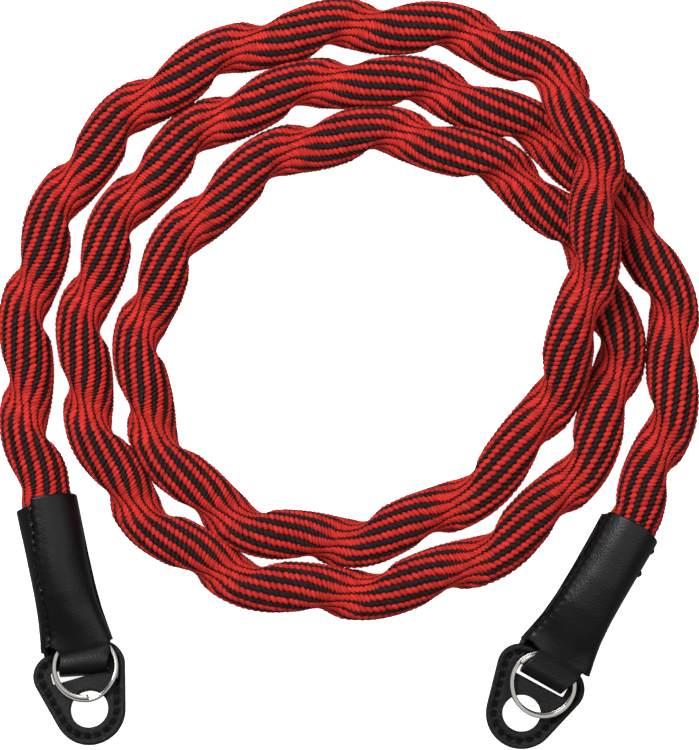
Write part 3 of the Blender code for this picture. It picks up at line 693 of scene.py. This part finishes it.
def makeSleeve(side, end):
    # One piece of leather: wrapped round the cord as a tube, its top running on as the tab
    sides, rings = sleeveWork["sides"], sleeveWork["rings"]
    piece = drawOut(side + "SleeveLeather", sides, rings)
    number, ringNumber = cornerNumbers(piece, sides)
    angles = np.arange(sides) * 2 * math.pi / sides
    along = ringNumber / (rings - 1)
    angle = angles[number]
    halfWidth, halfHeight, square = sleeveShape(end, along)
    across, rise = roundedSection(angle, halfWidth, halfHeight, square)
    leftOfSeam = ease(-np.cos(angle), -end["seamShares"][0] - 0.04, -end["seamShares"][0] + 0.04)
    fromMouth = along * sleeve["length"]
    mouth = (-end["mouthLean"] * np.maximum(np.sin(angle), -0.3)
             + end["mouthNotch"] * leftOfSeam * (np.sin(angle) > -0.5))
    mouth = mouth * (1 - ease(fromMouth, 0, sleeveWork["mouthFade"]))
    halfTab = tab["rootWidth"] / 2
    endAcross, endRise = roundedSection(angles, end["endWidth"] / 2, sleeve["endHeight"] / 2,
                                        2 + sleeve["squareness"])
    top = np.sin(angles) > 0.05
    inTab = top & (np.abs(endAcross - end["tabRootShift"]) < halfTab)
    free = top & (endAcross < end["tabRootShift"] - halfTab)
    tabEdge = halfTab - end["tabRootShift"]
    curl = np.where(free, ease(-endAcross, tabEdge, tabEdge + sleeveWork["curlRun"]), 0)
    nearEnd = ease(fromMouth, sleeve["length"] - sleeveWork["endFade"], sleeve["length"])
    lower = np.where(np.sin(angles) < -0.55, ease(-endAcross, *sleeveWork["undercutFrom"]), 0)
    lower = lower * sleeveWork["undercut"]
    cut = (lower[number] - curl[number] * end["curlCut"]) * nearEnd
    points = np.column_stack([fromMouth - sleeve["length"] + mouth + cut, across,
                              halfHeight + rise + curl[number] * end["curl"] * nearEnd**2])

    line = tabLine(end)
    selectOnly(piece)
    bpy.ops.object.mode_set(mode="EDIT")
    selectCorners(piece, lambda vert: ringNumber[vert.index] == rings - 1 and inTab[number[vert.index]])
    for count in range(len(line)):
        bpy.ops.mesh.extrude_region_move(TRANSFORM_OT_translate={"value": (0, 0, 1)})
    bpy.ops.object.mode_set(mode="OBJECT")
    tabNumber, tabRing = cornerNumbers(piece, sides)
    added = len(ringNumber)
    columns = np.sort(np.unique(tabNumber[added:]))
    share = np.interp(endAcross[tabNumber], np.sort(endAcross[columns]), np.linspace(-1, 1, len(columns)))
    row = np.clip(tabRing - rings, 0, len(line) - 1)
    reach, height = line[row].T
    folded = np.clip(reach / line[:, 0].max(), 0, 1)
    half = (tab["rootWidth"] + folded * (tab["foldWidth"] - tab["rootWidth"])) / 2
    shift = end["tabRootShift"] + folded * (end["tabFoldShift"] - end["tabRootShift"])
    away = ease(row * tab["step"], 0, sleeveWork["tabFade"])
    droop = (1 - away) * (endRise[tabNumber] - sleeve["endHeight"] / 2)
    tabPoints = np.column_stack([
        reach + end["tabSkew"] * share * folded**2,
        (1 - away) * endAcross[tabNumber] + away * (shift + share * half), height + droop])
    allPoints = np.where((np.arange(len(tabRing)) < added)[:, None],
                         np.resize(points, (len(tabRing), 3)), tabPoints)
    placePoints(piece, allPoints)

    turnOutwards(piece)
    if np.sum(meshVectors(piece, "normal")[:added, 1] * allPoints[:added, 1]) < 0:
        piece.data.flip_normals()   # an open sheet can turn inwards
    piece.data.materials.append(sleeveLeather)
    # The rims take the cut edge's colour, which carries a painted highlight
    piece.data.materials.append(cutEdgeAndPaintedHighlight)
    applyModifier(piece, "SOLIDIFY", {
        "thickness": sleeveWork["leather"], "offset": -1.0, "material_offset_rim": 1,
        "edge_crease_outer": sleeveWork["edgeCrease"], "edge_crease_inner": sleeveWork["edgeCrease"]})
    applyModifier(piece, "SUBSURF", {"levels": 1, "render_levels": 1})

    points, normals = meshVectors(piece, "co"), meshVectors(piece, "normal")
    x, y, z = points.T
    station = np.clip(x / sleeve["length"] + 1, 0, 1)
    halfWidth, halfHeight, square = sleeveShape(end, station)
    level = (np.abs(y / halfWidth)**square + np.abs((z - halfHeight) / halfHeight)**square)**(1 / square)
    outer = ease(level, 0.90, 0.96) * (1 - ease(x, -1.5 * mm, 0.3 * mm))
    above = outer * (z > halfHeight)
    seam = y - seamAcross(end, x, halfWidth)   # distance from the line of stitches
    pucker = 1 + sleeveWork["puckerShare"] * np.cos(2 * math.pi * x / sleeveWork["pucker"])
    ridge, ridgePlace, ridgeWidth = sleeveWork["seamRidge"]
    groove = -sleeveWork["seamDepth"] * bell(seam, sleeveWork["seamWidth"])
    lap = ease(-seam, 0.1 * mm, 0.9 * mm) * (1 - ease(-seam, 2.0 * mm, 4.0 * mm))
    depth = (groove * pucker + ridge * bell(seam - ridgePlace, ridgeWidth) * pucker
             - sleeveWork["lapDepth"] * lap)
    for dentX, dentY, size, much in sleeveDents[side]:
        spread = np.hypot(x / mm - dentX, (y / mm - dentY) * 1.6)
        depth = depth - much * bell(spread, size)
    creases = np.sin(y / mm * 6.5 + 1.4 * np.sin(x / mm * 0.9)) * bell(x - 1.0 * mm, sleeveWork["creaseRun"])
    wrinkle = sleeveWork["creaseHeight"] * creases * (z > 5 * mm)   # where the tab bends down
    points += normals * ((depth * above + wrinkle) * mm)[:, None]
    placePoints(piece, points)
    piece.data.transform(endMatrix(end))
    piece.data.shade_smooth()
    return piece


def sleeveTop(end, x, y):   # a spot on the sleeve's upper outside and the way out from it
    def height(px, py):
        halfWidth, halfHeight, square = sleeveShape(end, np.clip(px / sleeve["length"] + 1, 0, 1))
        inside = max(1 - abs(py / halfWidth)**square, 0.0)
        return float(halfHeight * (1 + inside**(1 / square)))
    step = 0.05 * mm
    out = Vector((height(x - step, y) - height(x + step, y), height(x, y - step) - height(x, y + step),
                  2 * step))
    return Vector((x, y, height(x, y))), out.normalized()


def sewThread(name, stitches, material):
    # One stitch of thread modelled once, then laid at each place: centre, direction, way out, sizes
    bpy.ops.mesh.primitive_uv_sphere_add(segments=10, ring_count=6, radius=0.5)
    first = bpy.context.active_object
    first.name = first.data.name = name
    bpy.ops.object.mode_set(mode="EDIT")
    bpy.ops.transform.resize(value=(0.8, 1.0, 1.0))
    bpy.ops.object.mode_set(mode="OBJECT")
    first.data.materials.append(material)
    first.data.shade_smooth()
    pattern = first.data.copy()
    copies = []
    for number, (centre, direction, out, length, width) in enumerate(stitches):
        onward = direction.normalized()
        sideways = out.cross(onward).normalized()
        upright = onward.cross(sideways)
        place = Matrix.Identity(4)
        for column, axis in enumerate((onward * length, sideways * width, upright * width, centre)):
            for line in range(3):
                place[line][column] = axis[line]
        if number == 0:
            first.data.transform(place)
            continue
        copy = first.copy()
        copy.data = pattern.copy()
        copy.data.transform(place)
        studio.link(copy)
        copies.append(copy)
    selectOnly(first)
    for copy in copies:
        copy.select_set(True)
    bpy.ops.object.join()
    tones = first.data.attributes.new("tone", "FLOAT", "POINT")
    values = np.random.default_rng(3).uniform(0, 1, len(first.data.vertices))
    tones.data.foreach_set("value", values.astype(np.float32))
    return first


sleeveSeam = {
    "run": (-31.4, -3.2, 1.05),   # start, end and spacing in mm from the flat end
    "zigzag": (0.62 * mm, 0.55 * mm), "depths": (0.14 * mm, 0.02 * mm),
    "stitch": (1.45 * mm, 0.42 * mm), "knotStitch": (2.3 * mm, 1.15 * mm), "knotHeight": 7.4,
    "knotTurns": ((0.5, 0.0), (-0.6, 0.3), (1.6, 0.5)),   # way of each loop, how deep it lies in mm
}


def makeSeam(side, end):   # zigzag of black thread that closes the tube
    stitches = []
    place = endMatrix(end)
    turned = place.to_3x3()
    onward, sideways = sleeveSeam["zigzag"]
    for number, x in enumerate(np.arange(*sleeveSeam["run"]) * mm):
        halfWidth = float(sleeveShape(end, x / sleeve["length"] + 1)[0])
        lean = sideways if number % 2 else -sideways
        centre, out = sleeveTop(end, x, float(seamAcross(end, x, halfWidth)))
        direction = Vector((onward, -lean, 0))
        direction = direction - out * direction.dot(out)
        centre = centre - out * sleeveSeam["depths"][number % 2]
        stitches.append((place @ centre, turned @ direction, turned @ out, *sleeveSeam["stitch"]))
    for x, y in end["knots"]:   # ends of the thread, knotted and pulled in
        for turn, drop in sleeveSeam["knotTurns"]:
            direction = Matrix.Rotation(turn, 3, "Z") @ headingVector(end["heading"])
            centre = Vector((x, y, sleeveSeam["knotHeight"] - drop)) * mm
            stitches.append((centre, direction, Vector((0, 0, 1)), *sleeveSeam["knotStitch"]))
    return sewThread(side + "SleeveSeam", stitches, blackThread)


def guardOutline():   # round the nose and the two corners, as many points as the circle has
    cornerX, cornerY = guard["cornerRadius"], guard["width"] / 2 - guard["cornerRadius"]
    spread = math.hypot(guard["shoulder"] - cornerX, cornerY)
    lean = math.atan2(cornerY, guard["shoulder"] - cornerX)
    tangent = math.acos((guard["cornerRadius"] - guard["noseRadius"]) / spread) - lean
    arcs = (((cornerX, cornerY), guard["cornerRadius"], math.pi, tangent, 14),
            ((guard["shoulder"], 0), guard["noseRadius"], tangent, -tangent, 30),
            ((cornerX, -cornerY), guard["cornerRadius"], -tangent, -math.pi, 14))
    points = []
    for centre, radius, start, finish, steps in arcs:
        turned = np.linspace(start, finish, steps + 1)
        arc = np.column_stack([np.cos(turned), np.sin(turned)])
        points.append(np.array(centre) + radius * arc)
    outline = np.concatenate(points)
    step = np.linalg.norm(np.diff(np.concatenate([outline, outline[:1]]), axis=0), axis=1)
    return outline[step > 1e-9]


def evenly(outline, spacing):   # points at even distances round a closed outline, with directions
    closed = np.concatenate([outline, outline[:1]])
    run = np.concatenate([[0], np.cumsum(np.linalg.norm(np.diff(closed, axis=0), axis=1))])
    count = int(round(run[-1] / spacing))
    places = (np.arange(count) + 0.5) * run[-1] / count
    spots = np.column_stack([np.interp(places, run, closed[:, k]) for k in range(2)])
    ahead = np.column_stack([np.interp(places + 0.2 * mm, run, closed[:, k], period=run[-1])
                             for k in range(2)])
    directions = ahead - spots
    return spots, directions / np.linalg.norm(directions, axis=1)[:, None]


def makeGuard(side, end):
    # Two layers of leather cut to one outline, glued and sewn round; soft edges, worn flat
    outline = guardOutline()
    count = len(outline)
    bpy.ops.mesh.primitive_circle_add(vertices=count, radius=1.0, fill_type="NGON")
    piece = bpy.context.active_object
    piece.name = piece.data.name = side + "GuardLeather"
    number = cornerNumbers(piece, count)[0]
    placePoints(piece, np.column_stack([outline[number], np.zeros(count)]))
    bpy.ops.object.mode_set(mode="EDIT")
    bpy.ops.mesh.select_all(action="SELECT")
    bpy.ops.mesh.extrude_region_move(TRANSFORM_OT_translate={"value": (0, 0, guard["thickness"])})
    bpy.ops.object.mode_set(mode="OBJECT")
    turnOutwards(piece)

    bpy.ops.mesh.primitive_cylinder_add(vertices=56, radius=guard["holeRadius"], depth=8 * mm,
                                        location=(guard["shoulder"], 0, 0))
    hole = bpy.context.active_object
    slotSize = guard["slot"]
    slotMiddle = guard["shoulder"] - guard["slotToHole"] - slotSize[0] / 2
    bpy.ops.mesh.primitive_cube_add(size=1.0, location=(slotMiddle, 0, 0))
    slot = bpy.context.active_object
    bpy.ops.object.mode_set(mode="EDIT")
    bpy.ops.transform.resize(value=slotSize)
    cutter = bmesh.from_edit_mesh(slot.data)
    for edge in cutter.edges:
        edge.select = abs(edge.verts[0].co.z - edge.verts[1].co.z) > 1 * mm
    bmesh.update_edit_mesh(slot.data)
    bpy.ops.mesh.bevel(offset=guard["slotCorner"], segments=5, affect="EDGES")
    bpy.ops.object.mode_set(mode="OBJECT")
    for tool in (hole, slot):
        applyModifier(piece, "BOOLEAN", {"object": tool, "operation": "DIFFERENCE", "solver": "EXACT"})
        bpy.data.objects.remove(tool)
    applyModifier(piece, "REMESH", {"mode": "VOXEL", "voxel_size": guard["voxel"], "adaptivity": 0.0})
    applyModifier(piece, "SMOOTH", {"factor": 0.5, "iterations": guard["rounding"]})

    points, normals = meshVectors(piece, "co"), meshVectors(piece, "normal")
    spans = np.roll(outline, -1, axis=0) - outline
    offset = points[:, None, :2] - outline[None]
    share = np.clip(np.sum(offset * spans, -1) / np.sum(spans * spans, -1), 0, 1)
    inset = np.linalg.norm(offset - share[..., None] * spans, axis=-1).min(axis=1)
    onFace = np.abs(normals[:, 2]) > 0.7
    upward = np.sign(normals[:, 2])
    seamLine = outline - insetDirections(outline) * guard["seamInset"]
    spots, directions = evenly(seamLine, guard["stitchSpacing"])
    away = points[:, None, :2] - spots[None]
    lengthwise = np.sum(away * directions, -1)
    crosswise = np.sum((away @ np.array(((0, -1), (1, 0)))) * directions, -1)
    near = np.hypot((lengthwise + guard["dentSlant"] * crosswise) / guard["dentLength"], crosswise)
    near = near.min(axis=1)
    (groove, grooveWidth), (dent, dentWidth) = guard["groove"], guard["stitchDent"]
    rim, rimInset, rimWidth = guard["rim"]
    press = (-groove * bell(inset - guard["seamInset"], grooveWidth) - dent * bell(near, dentWidth)
             + rim * bell(inset - rimInset, rimWidth))
    worn = guard["worn"] * np.sin(points[:, 0] / mm * 0.9 + 1.7) * np.sin(points[:, 1] / mm * 0.8 + 0.6)
    points[:, 2] += np.where(onFace, upward * press * mm + worn * mm, worn * mm)
    lineDepth, lineWidth = guard["layerLine"]
    layers = -lineDepth * bell(points[:, 2] - guard["thickness"] / 2, lineWidth) * (inset < 0.35 * mm)
    points[:, :2] += normals[:, :2] * layers[:, None]
    placePoints(piece, points)
    piece.data.materials.clear()
    piece.data.materials.append(guardLeather)
    place = guardMatrix(end)
    piece.data.transform(place)
    piece.data.shade_smooth()

    stitches = []
    turned = place.to_3x3()
    leaning = Matrix.Rotation(guard["stitchLean"], 3, "Z")
    sunk = guard["stitchSunk"]
    for (x, y), (dx, dy) in zip(spots, directions):
        direction = leaning @ Vector((dx, dy, 0))
        for height, out in ((guard["thickness"] - sunk, 1.0), (sunk, -1.0)):
            stitches.append((place @ Vector((x, y, height)), turned @ direction,
                             turned @ Vector((0, 0, out)), *guard["stitch"]))
    thread = sewThread(side + "GuardStitches", stitches, blackThread)
    return piece, thread


def insetDirections(outline):   # unit vectors square to the outline, pointing away from its middle
    along = np.roll(outline, -1, axis=0) - np.roll(outline, 1, axis=0)
    square = np.column_stack([along[:, 1], -along[:, 0]])
    square /= np.linalg.norm(square, axis=1)[:, None]
    outward = np.sign(np.sum(square * (outline - np.array(guard["middle"])), axis=1))
    return square * outward[:, None]


ring = {
    "radius": 7.5 * mm, "wire": (1.1 * mm, 0.85 * mm), "sides": 14, "steps": 190,
    "start": math.radians(20), "sweep": math.radians(655), "coilGap": 0.1 * mm,
    "stepUp": (math.radians(320), math.radians(380)), "sideways": 0.34 * mm, "narrowing": 0.12 * mm,
}


def makeRing(side, end):
    # Spring wire wound almost twice, with one step up; the upper coil sits a little to one side
    sides, steps = ring["sides"], ring["steps"]
    piece = drawOut(side + "RingWire", sides, steps + 1)
    bpy.ops.object.mode_set(mode="EDIT")
    for level in (0, steps):
        selectCorners(piece, lambda vert: abs(vert.co.z - level) < 0.5)
        bpy.ops.mesh.edge_face_add()
    bpy.ops.object.mode_set(mode="OBJECT")
    number, step = cornerNumbers(piece, sides)
    swept = ring["start"] + ring["sweep"] * step / steps
    low, high = ring["stepUp"]
    climb = ease(swept, low, high)
    wide, tall = ring["wire"]
    angle = 2 * math.pi * number / sides
    across, rise = roundedSection(angle, wide / 2, tall / 2, 2.0)
    middle = ring["radius"] - wide / 2 + across - climb * ring["narrowing"]
    lean = end["coilLean"] - end["ringTurn"]
    points = np.column_stack([
        middle * np.cos(swept) + climb * ring["sideways"] * math.cos(lean),
        middle * np.sin(swept) + climb * ring["sideways"] * math.sin(lean),
        tall / 2 + climb * (tall + ring["coilGap"]) + rise])
    placePoints(piece, points)
    turnOutwards(piece)
    piece.data.materials.append(ringSteel)
    reach, height = guardPlace(end, end["ringReach"], guard["thickness"] + gap)
    piece.data.transform(endMatrix(end) @ Matrix.Translation((reach, end["ringShift"], height))
                         @ Matrix.Rotation(-end["guardLift"], 4, "Y")
                         @ Matrix.Rotation(end["ringTurn"], 4, "Z"))
    piece.data.shade_smooth()
    return piece


for side, end in ends.items():
    leather = makeSleeve(side, end)
    seam = makeSeam(side, end)
    pad, sewing = makeGuard(side, end)
    wire = makeRing(side, end)
    for piece, node, slot in ((leather, "sleeve", "sleeve_leather"), (seam, "", "sleeve_leather"),
                              (pad, "ring_guard", "guard_leather"), (sewing, "", "guard_leather"),
                              (wire, "split_ring", "ring_steel")):
        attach(piece, "root")
        if node:
            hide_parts(side + "_" + node)
    print(side + " leather end and ring ready")
